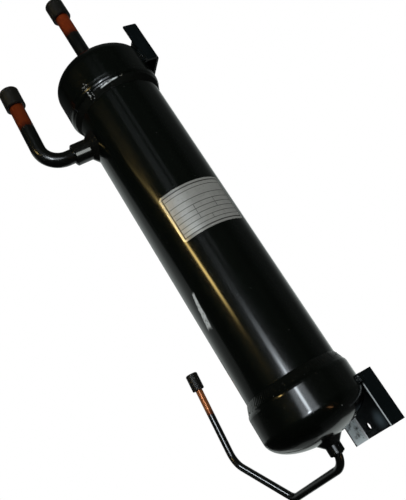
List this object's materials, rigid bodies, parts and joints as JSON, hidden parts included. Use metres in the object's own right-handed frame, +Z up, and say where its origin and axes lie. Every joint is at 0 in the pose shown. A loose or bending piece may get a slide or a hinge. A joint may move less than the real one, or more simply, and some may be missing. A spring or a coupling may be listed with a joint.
{
  "type": "oil separator",
  "caption": "Upright refrigerant oil separator: closed steel vessel with domed ends, side inlet, top outlet, float valve, oil return line and channel brackets for a wall.",
  "frame": {"origin": "centre of the four wall bolts, on the face of the brackets that meets the wall", "axes": "+Y points into the wall, +Z is up along the vessel, +X is to the right seen from the room"},
  "size_m": [0.2517, 0.1966, 0.7258],
  "materials": {
    "black_painted_steel": "gloss black enamel over welded steel",
    "part_painted_copper": "copper, black enamel except at the end",
    "black_cap_plastic": "moulded, matte",
    "plate_aluminium": "satin",
    "plain_steel": "mill finish",
    "valve_brass": "turned",
    "ferrite": "sintered",
    "float_steel": "pressed stainless sheet"
  },
  "bodies": {
    "vessel": {"shell_tube": "black_painted_steel", "top_cap": "black_painted_steel", "bottom_cap": "black_painted_steel", "upper_bracket": "black_painted_steel", "lower_bracket": "black_painted_steel", "inlet_bushing": "black_painted_steel", "inlet_tube": "part_painted_copper", "outlet_bushing": "black_painted_steel", "outlet_tube": "part_painted_copper", "oil_return_bushing": "black_painted_steel", "oil_return_tube": "part_painted_copper", "data_plate": "plate_aluminium", "inlet_deflector": "plain_steel", "screen_top_plate": "plain_steel", "outlet_screen": "plain_steel", "screen_bottom_plate": "plain_steel", "sump_baffle": "plain_steel", "sump_magnet": "ferrite", "valve_body": "valve_brass", "valve_yoke": "plain_steel", "arm_pin": "plain_steel"},
    "inlet_cap": {"inlet_transit_cap": "black_cap_plastic"},
    "outlet_cap": {"outlet_transit_cap": "black_cap_plastic"},
    "oil_return_cap": {"oil_return_transit_cap": "black_cap_plastic"},
    "float": {"float_arm": "plain_steel", "float_ball": "float_steel"},
    "needle": {"valve_needle": "plain_steel"}
  },
  "joints": [
    {"name": "inlet_cap_pull", "type": "slide", "parent": "vessel", "child": "inlet_cap", "axis": [0.0049, 0.0293, 0.9996], "range_m": [0, 0.06]},
    {"name": "outlet_cap_pull", "type": "slide", "parent": "vessel", "child": "outlet_cap", "axis": [0, 0, 1], "range_m": [0, 0.06]},
    {"name": "oil_return_cap_pull", "type": "slide", "parent": "vessel", "child": "oil_return_cap", "axis": [0.119, 0.0264, 0.9925], "range_m": [0, 0.05]},
    {"name": "float_swing", "type": "hinge", "parent": "vessel", "child": "float", "pos_m": [-0.022, -0.06805, -0.2322], "axis": [0, -1, 0], "range_deg": [0, 8]},
    {"name": "needle_lift", "type": "slide", "parent": "vessel", "child": "needle", "axis": [0, 0, 1], "range_m": [0, 0.0032]}
  ],
  "couplings": [
    {"joint": "needle_lift", "follows": "float_swing", "m_per_rad": 0.022}
  ]
}
